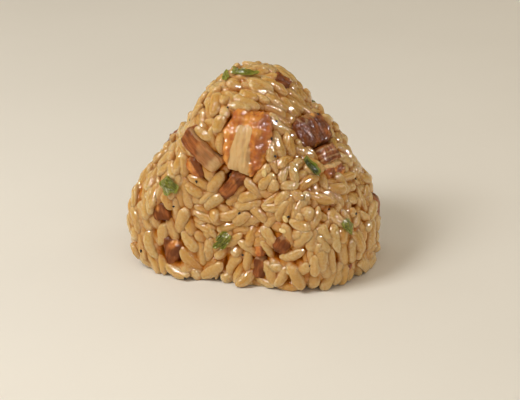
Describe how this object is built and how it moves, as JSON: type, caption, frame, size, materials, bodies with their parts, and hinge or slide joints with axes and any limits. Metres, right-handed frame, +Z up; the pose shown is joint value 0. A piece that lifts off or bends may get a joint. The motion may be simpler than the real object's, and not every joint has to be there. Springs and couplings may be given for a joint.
{
  "type": "onigiri rice ball",
  "caption": "Hand-pressed triangular ball of seasoned rice with braised pork chunks set in its faces, standing on its flat base.",
  "frame": {"origin": "middle of the flat base's bounding rectangle, on the surface that the rice ball stands on", "axes": "+Z up, +X along the wide base to the right of the front face, -Y out of the front face"},
  "size_m": [0.08, 0.0498, 0.063],
  "materials": {
    "rice": "moist translucent cooked rice, tinted gold-beige by soy seasoning",
    "pork": "braised pork belly, red-brown lean with pale fat and a glossy glaze",
    "herb": "moist chopped green onion leaf",
    "sesame": "pale sesame seed",
    "pepper": "ground black pepper"
  },
  "bodies": {
    "root": {"rice_body": "rice", "pork_front_centre": "pork", "pork_front_slab": "pork", "pork_front_glazed": "pork", "pork_front_middle": "pork", "pork_left_small": "pork", "pork_left_low": "pork", "pork_low_dark": "pork", "pork_low_glazed": "pork", "pork_low_strip": "pork", "pork_ridge_upper": "pork", "pork_ridge_middle": "pork", "pork_ridge_lower": "pork", "pork_top": "pork", "pork_right_side": "pork", "pork_left_side": "pork", "pork_back_upper": "pork", "pork_back_centre": "pork", "pork_back_left": "pork", "pork_back_right": "pork", "pork_back_low": "pork"}
  },
  "joints": []
}
